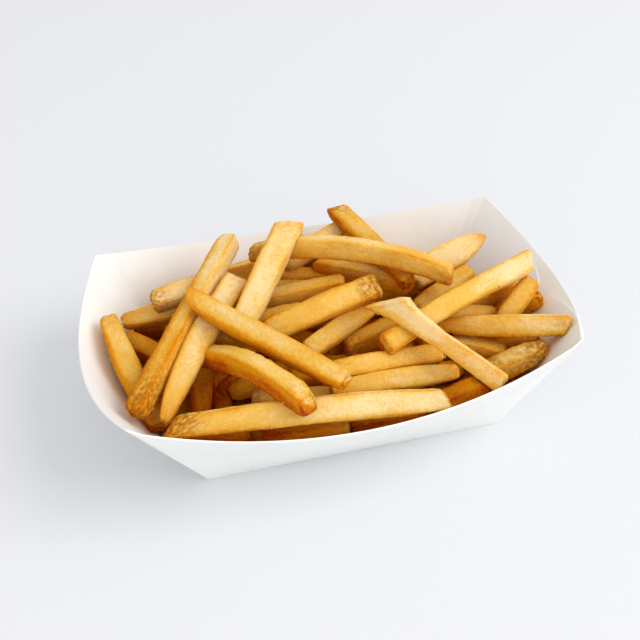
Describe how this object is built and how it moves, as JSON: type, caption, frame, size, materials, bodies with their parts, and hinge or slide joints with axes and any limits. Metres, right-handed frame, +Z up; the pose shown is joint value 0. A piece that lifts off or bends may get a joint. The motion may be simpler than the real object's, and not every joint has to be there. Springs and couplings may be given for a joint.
{
  "type": "french fries in a paper food tray",
  "caption": "Open white paper food tray with folded corners and bowed rims, heaped with golden french fries that lie across each other.",
  "frame": {"origin": "centre of the tray's flat underside, where it stands on a surface", "axes": "+X along the tray's length, -Y towards its front, +Z up"},
  "size_m": [0.1842, 0.1254, 0.0593],
  "materials": {
    "paper": "matte",
    "fried_potato": "satin"
  },
  "bodies": {
    "root": {"tray": "paper", "fries": "fried_potato"}
  },
  "joints": []
}
